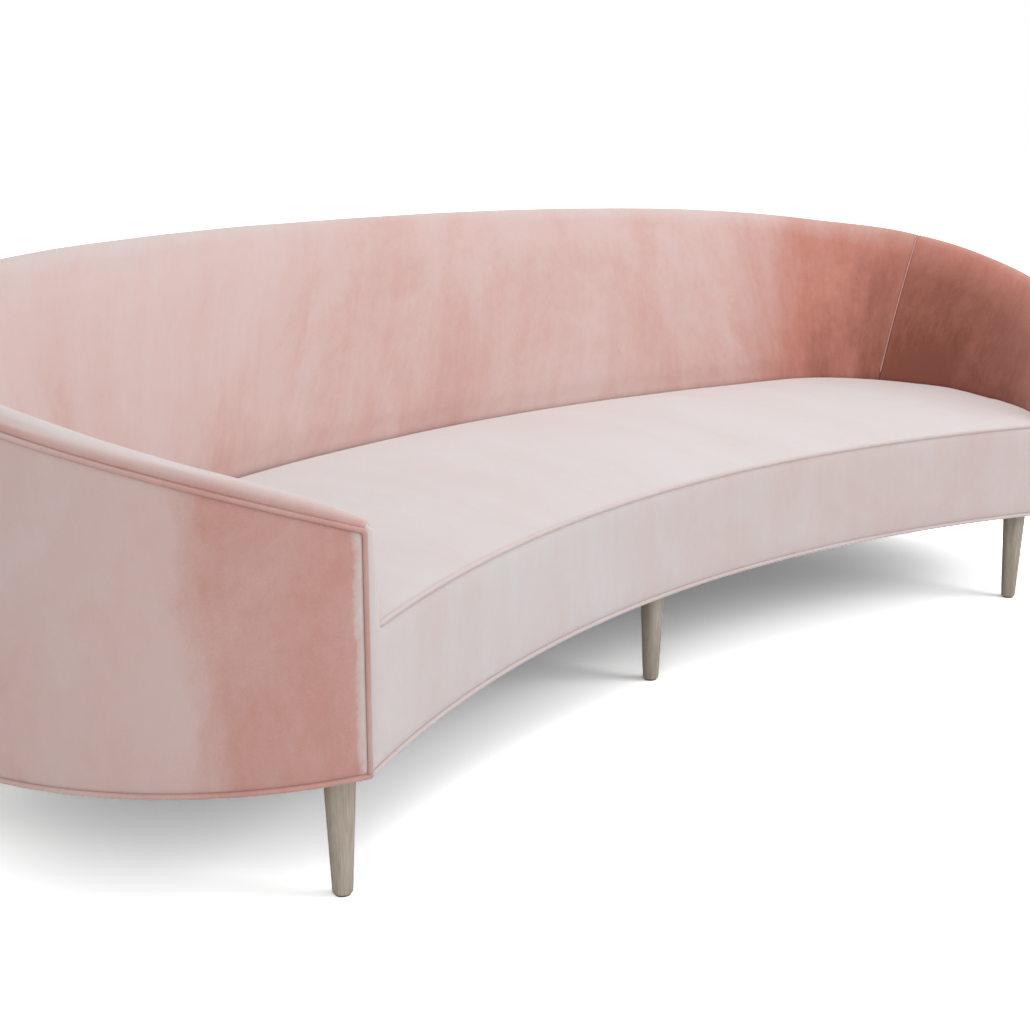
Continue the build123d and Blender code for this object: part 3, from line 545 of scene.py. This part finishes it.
def outside_panel(material):
    """Outside cover from the bottom welt to the top welt, drawn in along its edges."""
    runs = spread(-WALL_RUN + 0.004, WALL_RUN - 0.004, COLUMN_STEP, 0.03)
    shares = spread(0.0, 1.0, 0.05, 0.06)
    points, sheet = [], []
    for run in runs:
        station = Station(turn_at(run))
        low, high = BOTTOM_WELT + 0.001, station.welt - WELT_RADIUS * 0.4
        column, flat = [], []
        for share in shares:
            height = low + (high - low) * share
            edge = min(height - low, high - height, WALL_RUN - abs(run) + 0.003)
            puff = 0.0028 * (1 - np.exp(-edge / 0.012)) - 0.0026 * np.exp(-edge / 0.004)
            puff += 0.0014 * ripple(run * 2.2, height * 4.0, 21.0) * min(1.0, edge / 0.05)
            column.append(station.place(-puff, height))
            flat.append((run, height))
        points.append(column)
        sheet.append(flat)
    piece = grid_piece("outside_panel", np.array(points), np.array(sheet), material, flip=True)
    thicken(piece, OUTSIDE_THICKNESS)
    return piece


def thicken(piece, thickness):
    """Gives a thin cover its thickness on the inner side."""
    shell = piece.modifiers.new("thickness", "SOLIDIFY")
    shell.thickness = thickness
    shell.offset = -1.0


def front_border(material):
    """Padded cover on the concave front, from one corner welt to the other and up to the seat welt."""
    half = CORNER_X - CORNER_CLEARANCE
    across = spread(-half, half, 0.012, 0.02)
    low, high = BOTTOM_WELT + 0.001, SEAT_EDGE - WELT_RADIUS * 0.6
    points, sheet = [], []
    for x in across:
        under_arm = max(0.0, abs(x) - TIP_X)
        column, flat = [], []
        for share in spread(0.0, 1.0, 0.05, 0.08):
            height = low + (high - low) * share
            edge = min(height - low, high - height + 2 * under_arm, half - abs(x) + 0.001)
            column.append((x, front_y(x, -front_puff(x, height, edge)), height))
            flat.append((x, height))
        points.append(column)
        sheet.append(flat)
    piece = grid_piece("front_border_panel", np.array(points), np.array(sheet), material)
    thicken(piece, BORDER_THICKNESS)
    return piece


def front_puff(x, height, edge):
    """How far the padded front stands out, drawn in within a few millimetres of an edge."""
    puff = 0.0035 * (1 - np.exp(-edge / 0.012)) - 0.0025 * np.exp(-edge / 0.004)
    return puff + 0.0016 * ripple(x * 3.0, height * 5.0, 30.0) * min(1.0, edge / 0.05)


def evenly(path, count):
    """Points spread evenly along a path."""
    steps = np.linalg.norm(np.diff(path, axis=0), axis=1)
    lengths = np.concatenate(((0.0,), np.cumsum(steps)))
    wanted = np.linspace(0, lengths[-1], count)
    return np.stack([np.interp(wanted, lengths, path[:, axis]) for axis in range(path.shape[1])], axis=1)


def arm_facing(name, edge, material):
    """Front end of the right arm between its corner welt and its cover, tucked into the border."""
    joint = SEAT_EDGE - WELT_RADIUS * 0.6
    low = joint - FACING_TUCK
    outer_x = CORNER_X - 0.001
    side = edge[(edge[:, 2] > SEAT_EDGE) & (edge[:, 0] < outer_x - 0.003)][:, [0, 2]]
    side = side + np.array((-RIM_TUCK, RIM_TUCK))
    inner = evenly(np.vstack((side, ((TIP_X, joint), (TIP_X + 0.002, low)))), FACING_ROWS)
    outer = evenly(np.array(((outer_x, side[0][1]), (outer_x, low))), FACING_ROWS)
    points, sheet = [], []
    for share in spread(0.0, 1.0, 0.08, 0.2):
        column, flat = [], []
        for x, height in outer * (1 - share) + inner * share:
            from_top = max(0.0, side[0][1] - height)
            puff = front_puff(x, height, min(outer_x - x, from_top + 0.002))
            puff = (puff + 0.0003) * (1 - share ** 6) - RIM_TUCK * share ** 6
            puff -= 0.004 * max(0.0, joint - height) / FACING_TUCK
            column.append((x, front_y(x, -puff), height))
            flat.append((x, height))
        points.append(column)
        sheet.append(flat)
    piece = grid_piece(name, np.array(points), np.array(sheet), material)
    thicken(piece, FACING_THICKNESS)
    return piece


def seat_piece(material):
    """Crowned bench seat: a closed form from its front edge to the crease at the back."""
    end = Station(TIP_TURN).run - 0.03
    runs = spread(-end, end, COLUMN_STEP, 0.03)
    points, sheet = [], []
    for run in runs:
        station = Station(turn_at(run))
        front_x = TIP_X * station.share / TIP_SHARE
        start = np.array((front_x, front_y(front_x, 0.0)))
        stop = station.place(station.depth, 0.0)[:2]
        length = np.linalg.norm(stop - start)
        way = (stop - start) / length
        crown = SEAT_CROWN * min(1.0, length / BACK_DEPTH)
        ahead = spread(0.004, length - 0.001, 0.016, min(0.035, length / 3))
        shares = np.interp(np.linspace(0, 1, SEAT_TOP_ROWS), np.linspace(0, 1, len(ahead)), ahead)
        column, flat = [], []
        for distance in shares:
            share = distance / length
            height = SEAT_EDGE + (station.seat - SEAT_EDGE) * share + crown * 4 * share * (1 - share)
            behind = length - distance
            height -= 0.004 * np.exp(-distance / 0.006) + 0.016 * np.exp(-behind / 0.007)
            inside = min(1.0, distance / 0.06, behind / 0.03)
            spot = start + way * distance
            height += inside * 0.0030 * ripple(spot[0] * 2.4, spot[1] * 3.0, 40.0)
            height += inside * 0.0012 * ripple(spot[0] * 6.0, spot[1] * 7.0, 47.0)
            fold = np.exp(-(((abs(run) - 1.72) / 0.17) ** 2)) * inside
            height -= 0.0045 * fold * np.exp(-(((behind - 0.036) / 0.010) ** 2))
            column.append((spot[0], spot[1], height))
            flat.append((spot[0], spot[1]))
        for distance in (length - 0.002, length / 2, 0.006):
            spot = start + way * distance
            column.append((spot[0], spot[1], DECK))
            flat.append((spot[0], spot[1]))
        points.append(column)
        sheet.append(flat)
    return grid_piece("seat", np.array(points), np.array(sheet), material, loop=True, capped=True)


def tube(name, path, radius, material):
    """Covered cord along a path."""
    path = np.array(path, float)
    around = 12
    along = np.gradient(path, axis=0)
    along /= np.linalg.norm(along, axis=1)[:, None]
    lengths = np.concatenate(((0.0,), np.cumsum(np.linalg.norm(np.diff(path, axis=0), axis=1))))
    side = np.cross(along[0], (0.0, 1.0, 0.0) if abs(along[0][2]) > 0.9 else (0.0, 0.0, 1.0))
    points, sheet = [], []
    for spot, way, length in zip(path, along, lengths):
        side = side - way * (side @ way)
        side /= np.linalg.norm(side)
        top = np.cross(side, way)
        size = radius * (1 + 0.04 * ripple(length * 40.0, 0.0, 60.0))
        ring, flat = [], []
        for k in range(around):
            angle = 2 * pi * k / around
            ring.append(spot + size * (cos(angle) * side + sin(angle) * top))
            flat.append((length - lengths[-1] / 2, radius * angle))
        points.append(ring)
        sheet.append(flat)
    return grid_piece(name, np.array(points), np.array(sheet), material, loop=True, capped=True)


def rounded_turn(before, corner, after, radius):
    """Points of a quarter-like bend that cuts a corner between two places."""
    before, corner, after = (np.array(place, float) for place in (before, corner, after))
    start = corner + (before - corner) / np.linalg.norm(before - corner) * radius
    stop = corner + (after - corner) / np.linalg.norm(after - corner) * radius
    steps = np.linspace(0, 1, 10)[:, None]
    return (1 - steps) ** 2 * start + 2 * steps * (1 - steps) * corner + steps ** 2 * stop


def edge_welt_path():
    """Way of the cord up the right corner, along the top of the outside and down the left corner."""
    last = FRONT_TURN - 1.2 * WELT_BEND / END_RADIUS
    top = [Station(turn).place(0.0, Station(turn).welt) for turn in np.linspace(last, -last, WELT_STEPS)]
    corner_height = Station(FRONT_TURN).welt
    legs = []
    for side in (1, -1):
        heights = np.linspace(BOTTOM_WELT, corner_height - 1.2 * WELT_BEND, 40)
        legs.append([np.array((side * CORNER_X, CORNER_Y, height)) for height in heights])
    right = rounded_turn(legs[0][-1], (CORNER_X, CORNER_Y, corner_height), top[0], WELT_BEND)
    left = rounded_turn(top[-1], (-CORNER_X, CORNER_Y, corner_height), legs[1][-1], WELT_BEND)
    return np.vstack((legs[0], right, top, left, legs[1][::-1]))


def front_path(half_width, inset, height, count):
    """Points along the front from left to right."""
    return [(x, front_y(x, inset), height) for x in np.linspace(-half_width, half_width, count)]


def dust_sheet(material):
    """Dust cloth stretched under the frame."""
    runs = np.linspace(-WALL_RUN + 0.012, WALL_RUN - 0.012, DUST_COLUMNS)
    rear = [Station(turn_at(run)).place(DUST_INSET, DUST_LEVEL)[:2] for run in runs]
    across = np.linspace(-CORNER_X + 0.014, CORNER_X - 0.014, DUST_FRONT_POINTS)
    front = [np.array((x, front_y(x, DUST_INSET))) for x in across]
    points, sheet = [], []
    for k, stop in enumerate(rear):
        share = k / (DUST_COLUMNS - 1)
        start = front[int(round(share * (DUST_FRONT_POINTS - 1)))]
        column, flat = [], []
        for step in np.linspace(0, 1, DUST_ROWS):
            spot = start + (stop - start) * step
            sag = -0.0006 * ripple(spot[0] * 4.0, spot[1] * 4.0, 70.0)
            column.append((spot[0], spot[1], DUST_LEVEL + sag))
            flat.append(tuple(spot))
        points.append(column)
        sheet.append(flat)
    return grid_piece("dust_sheet", np.array(points), np.array(sheet), material)


def swell(piece, held, limit, ease):
    """Lets a stuffed piece settle as cloth under pressure, with some points held and others eased in."""
    scene = bpy.context.scene
    mesh = piece.data
    rest = np.array([tuple(v.co) for v in mesh.vertices])
    group = piece.vertex_groups.new(name="held")
    group.add([int(k) for k in held], 1.0, "REPLACE")
    cloth = piece.modifiers.new("swell", "CLOTH")
    cloth.settings.quality = 4
    cloth.settings.mass = 0.4
    cloth.settings.tension_stiffness = 40.0
    cloth.settings.compression_stiffness = 40.0
    cloth.settings.shear_stiffness = 20.0
    cloth.settings.bending_stiffness = 2.0
    cloth.settings.vertex_group_mass = "held"
    cloth.settings.use_pressure = True
    cloth.settings.uniform_pressure_force = CLOTH_PRESSURE
    cloth.settings.effector_weights.gravity = 0.0
    cloth.collision_settings.use_collision = False
    cloth.point_cache.frame_start = 1
    cloth.point_cache.frame_end = CLOTH_FRAMES
    for number in range(1, CLOTH_FRAMES + 1):
        scene.frame_set(number)
    settled = piece.evaluated_get(bpy.context.evaluated_depsgraph_get()).data
    moved = np.array([tuple(v.co) for v in settled.vertices]) - rest
    size = np.linalg.norm(moved, axis=1)
    print(piece.name, "swelled by up to", round(float(size.max()) * 1000, 1), "mm")
    moved *= (ease * np.minimum(1.0, limit / np.maximum(size, 1e-9)))[:, None]
    piece.modifiers.remove(cloth)
    mesh.vertices.foreach_set("co", (rest + moved).astype(np.float32).ravel())
    mesh.update()
    scene.frame_set(1)


def smooth(piece):
    """One subdivision for a piece seen close."""
    level = piece.modifiers.new("smooth", "SUBSURF")
    level.levels = 1
    level.render_levels = 1


def area_light(name, place, target, size, power):
    """Soft square light aimed at a point."""
    lamp = bpy.data.lights.new(name, "AREA")
    lamp.shape = "SQUARE"
    lamp.size = size
    lamp.energy = power
    holder = bpy.data.objects.new(name, lamp)
    holder.location = place
    holder.rotation_euler = (Vector(target) - Vector(place)).to_track_quat("-Z", "Y").to_euler()
    bpy.context.scene.collection.objects.link(holder)


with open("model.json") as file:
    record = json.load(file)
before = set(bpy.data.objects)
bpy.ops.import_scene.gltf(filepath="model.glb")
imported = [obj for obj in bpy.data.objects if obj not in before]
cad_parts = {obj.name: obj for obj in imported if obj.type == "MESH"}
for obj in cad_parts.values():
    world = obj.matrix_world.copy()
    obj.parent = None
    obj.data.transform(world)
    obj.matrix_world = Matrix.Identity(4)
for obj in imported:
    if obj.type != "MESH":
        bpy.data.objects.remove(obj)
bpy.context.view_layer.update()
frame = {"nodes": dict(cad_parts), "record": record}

# Covers: the tone runs from deep coral at 0 to pale grey at 1, partly the lie of the pile and partly painted
# shade and painted sheen
# Seat: pale all over as painted sheen
velvet_seat = velvet("velvet_seat", [(0.0, 0.95), (1.0, 0.95)], 0.2, 0.3)
# Front border and facings: paler toward the left end as painted sheen
velvet_front = velvet("velvet_front", [(0.0, 0.92), (0.5, 0.84), (1.0, 0.76)], 0.35, 0.5, (-0.9, 0.9))
# Back: partly the lie of the pile; darker toward its right end as painted shade, paler along the crest as a
# painted highlight
velvet_back = velvet("velvet_back", [
    (0.0, 0.62), (0.3, 0.56), (0.5, 0.50), (0.67, 0.52),
    (0.79, 0.48), (0.86, 0.36), (0.92, 0.18), (1.0, 0.06),
], 0.3, 0.35, (-1.49, 1.49), ((0.0, 0.22), (0.14, 0.18), (0.21, 0.06), (0.4, 0.02), (1.0, -0.02)))
# Left arm: paler along the crest as a painted highlight, darker on its outer slope as painted shade
velvet_arm_left = velvet("velvet_arm_left", [(0.0, 0.58), (1.0, 0.6)], 0.2, 0.3, (-2.17, -1.49),
                         ((0.0, -0.2), (0.025, -0.12), (0.055, 0.28), (0.1, 0.28), (0.25, 0.05), (1.0, 0.0)))
# Right arm: deep coral all over as painted shade, lighter toward its top as painted sheen
velvet_arm_right = velvet("velvet_arm_right", [(0.0, 0.06), (0.5, 0.05), (1.0, 0.14)], 0.2, 0.2, (1.49, 2.17),
                          ((0.0, 0.3), (0.1, 0.22), (0.25, 0.02), (0.6, -0.06)))
# Outside: coral near the front ends from the lie of the pile; the rim is a painted highlight beside the
# corner welts
velvet_outside = velvet("velvet_outside", [
    (0.0, 0.4), (0.038, 0.38), (0.054, 0.6), (0.5, 0.6), (0.946, 0.6), (0.962, 0.38), (1.0, 0.4),
], 0.2, 0.45, (-2.166, 2.166), rim=0.4)
velvet_welt = velvet("velvet_welt", [
    (0.0, 0.45), (0.09, 0.38), (0.14, 0.55), (0.5, 0.58), (0.86, 0.55), (0.91, 0.38), (1.0, 0.45),
], 0.2, 0.2, (-2.45, 2.45))
# Seat welt and front bottom welt: pale as painted sheen
velvet_edge = velvet("velvet_edge", [(0.0, 0.8), (1.0, 0.8)], 0.2, 0.2)
velvet_seam = velvet("velvet_seam", [(0.0, 0.4), (1.0, 0.4)], 0.2, 0.2)

seat = seat_piece(velvet_seat)
seam_run = Station(SEAM_TURN).run
back = wall_panel("inside_back", -seam_run, seam_run, velvet_back)
section_rows = sum(len(part) for part in wall_profile(Station(0.0)))
trim = front_turns(section_rows)
arm_right = wall_panel("inside_arm_right", seam_run, WALL_RUN, velvet_arm_right, trim)
outside = outside_panel(velvet_outside)

skin_rows = len(wall_profile(Station(0.0))[0])
arm_spots = np.array([tuple(v.co) for v in arm_right.data.vertices])
nose = arm_spots[-3 * section_rows:-2 * section_rows][2:skin_rows - 2]
border = front_border(velvet_front)
facing_right = arm_facing("arm_front_right", nose, velvet_front)

seat_rows = SEAT_TOP_ROWS + 3
for piece, reach in ((seat, 0.006), (back, 0.005), (arm_right, 0.004)):
    spots = np.array([tuple(v.co) for v in piece.data.vertices])
    rows = seat_rows if piece is seat else section_rows
    index = np.arange(len(spots))
    row, column = index % rows, index // rows
    if piece is seat:
        fixed = (row < 4) | (row > SEAT_TOP_ROWS - 7)
    else:
        fixed = (row < 5) | (row > skin_rows - 5)
    fixed |= (column < HELD_COLUMNS) | (column > column.max() - HELD_COLUMNS)
    from_end = np.minimum(column, column.max() - column)
    ease = np.clip((from_end - HELD_COLUMNS + 1) / EASED_COLUMNS, 0.0, 1.0)
    swell(piece, index[fixed], reach, ease ** 2 * (3 - 2 * ease))

arm_left = mirror_piece(arm_right, "inside_arm_left", velvet_arm_left)
facing_left = mirror_piece(facing_right, "arm_front_left", velvet_front)
thicken(facing_left, FACING_THICKNESS)

bottom_turns = np.linspace(-FRONT_TURN, FRONT_TURN, WELT_STEPS)
bottom_path = [Station(turn).place(0.0, BOTTOM_WELT) for turn in bottom_turns]
edge_welt = tube("edge_welt", edge_welt_path(), WELT_RADIUS, velvet_welt)
seat_path = front_path(TIP_X + SEAT_WELT_TUCK, SEAT_WELT_INSET, SEAT_EDGE, FRONT_WELT_STEPS)
seat_welt = tube("seat_edge_welt", seat_path, WELT_RADIUS, velvet_edge)
bottom_welt = tube("bottom_edge_welt", bottom_path, WELT_RADIUS, velvet_welt)
front_bottom_path = front_path(CORNER_X, 0.0, BOTTOM_WELT, FRONT_WELT_STEPS)
front_welt = tube("front_bottom_welt", front_bottom_path, WELT_RADIUS, velvet_edge)
welts = {
    edge_welt: ("outside_top_welt", "arm_front_welt_left", "arm_front_welt_right"),
    seat_welt: ("seat_welt",),
    bottom_welt: ("bottom_welt",),
    front_welt: ("bottom_welt",),
}

seam_station = Station(SEAM_TURN)
seam_skin = wall_profile(seam_station)[0]
seam_line = seam_skin - normals_of(seam_skin) * (SEAM_DIP - SEAM_RADIUS)
seam_path = [seam_station.place(inset, height) for inset, height in evenly(seam_line[2:-3], 60)]
seam_right = tube("back_seam_right", seam_path, SEAM_RADIUS, velvet_seam)
seam_left = mirror_piece(seam_right, "back_seam_left", velvet_seam)
for seam_piece in (seam_right, seam_left):
    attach(seam_piece, "root")

dust_cloth = plain("dust_cloth", linear(20, 20, 21), linear(38, 38, 40), (500.0, 500.0, 500.0), 0.95)
dust = dust_sheet(dust_cloth)

stands_for = {
    seat: ("seat_cover", "seat_foam", "seat_insulator"),
    back: ("inside_back_cover", "back_foam_centre", "back_foam_left", "back_foam_right", "back_webbing"),
    arm_left: ("inside_arm_cover_left", "arm_foam_left"),
    arm_right: ("inside_arm_cover_right", "arm_foam_right"),
    outside: ("outside_cover", "outside_board_centre", "outside_board_left", "outside_board_right"),
    border: ("front_border", "front_padding"),
    facing_left: ("arm_facing_left", "arm_front_padding_left"),
    facing_right: ("arm_facing_right", "arm_front_padding_right"),
    dust: ("dust_cover",),
}
for piece, nodes in stands_for.items():
    if piece in (seat, back, arm_left, arm_right):
        smooth(piece)
    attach(piece, "root")
    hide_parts(*nodes)
for piece, nodes in welts.items():
    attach(piece, "root")
    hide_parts(*nodes)

# Legs and the pieces inside keep their solids
limed_oak = oak()
timber = plain("sawn_timber", linear(168, 138, 100), linear(206, 178, 138), (40.0, 40.0, 6.0), 0.7)
steel = plain("bright_steel", linear(150, 150, 152), linear(190, 190, 192), (300.0, 300.0, 300.0), 0.35, 1.0)
felt = plain("grey_felt", linear(92, 88, 84), linear(128, 122, 116), (900.0, 900.0, 900.0), 0.95)
finishes = {"leg_oak": limed_oak, "frame_timber": timber, "steel": steel, "felt": felt}
for row in frame["record"]["subparts"]:
    node = frame["nodes"].get(row["node"])
    if node is not None and row["material_slot"] in finishes:
        node.data.materials.clear()
        node.data.materials.append(finishes[row["material_slot"]])

# Studio
floor_mesh = bpy.data.meshes.new("floor")
wide = 30.0
floor_corners = [(-wide, -wide, 0), (wide, -wide, 0), (wide, wide, 0), (-wide, wide, 0)]
floor_mesh.from_pydata(floor_corners, [], [(0, 1, 2, 3)])
floor = bpy.data.objects.new("floor", floor_mesh)
bpy.context.scene.collection.objects.link(floor)
paper = Nodes("white_floor")
paper.tree.nodes.remove(paper.shader)
seen_white = paper.add("BsdfDiffuse", Color=(2.7, 2.7, 2.7, 1.0))
bounced_white = paper.add("BsdfDiffuse", Color=(0.75, 0.75, 0.75, 1.0))
floor_choice = paper.tree.nodes.new("ShaderNodeMixShader")
paper.feed(floor_choice.inputs["Fac"], paper.add("LightPath").outputs["Is Camera Ray"])
paper.feed(floor_choice.inputs[1], bounced_white.outputs[0])
paper.feed(floor_choice.inputs[2], seen_white.outputs[0])
paper.feed(paper.tree.nodes["Material Output"].inputs["Surface"], floor_choice.outputs[0])
floor_mesh.materials.append(paper.material)

scene = bpy.context.scene
world = bpy.data.worlds.new("studio")
world.use_nodes = True
scene.world = world
tree = world.node_tree
light_level = tree.nodes["Background"]
light_level.inputs["Color"].default_value = (1.0, 1.0, 1.0, 1.0)
light_level.inputs["Strength"].default_value = 0.62
backdrop = tree.nodes.new("ShaderNodeBackground")
backdrop.inputs["Color"].default_value = (1.0, 1.0, 1.0, 1.0)
backdrop.inputs["Strength"].default_value = 1.0
path = tree.nodes.new("ShaderNodeLightPath")
choice = tree.nodes.new("ShaderNodeMixShader")
tree.links.new(path.outputs["Is Camera Ray"], choice.inputs["Fac"])
tree.links.new(light_level.outputs[0], choice.inputs[1])
tree.links.new(backdrop.outputs[0], choice.inputs[2])
tree.links.new(choice.outputs[0], tree.nodes["World Output"].inputs["Surface"])

area_light("overhead", (0.6, -0.4, 3.3), (0.0, -0.2, 0.3), 3.0, 56.0)
area_light("front", (2.2, -3.6, 1.9), (0.0, 0.0, 0.4), 2.4, 54.0)
area_light("side", (-3.2, -2.4, 1.7), (-0.6, 0.0, 0.4), 2.2, 32.0)

camera_data = bpy.data.cameras.new("camera")
camera_data.lens = 55.79
camera_data.sensor_width = 36.0
camera = bpy.data.objects.new("camera", camera_data)
camera.location = (-2.0979, -1.9192, 0.9775)
camera.rotation_euler = (radians(75.8), 0.0, radians(-46.18))
scene.collection.objects.link(camera)
scene.camera = camera
scene.view_settings.view_transform = "Standard"

bpy.context.view_layer.update()
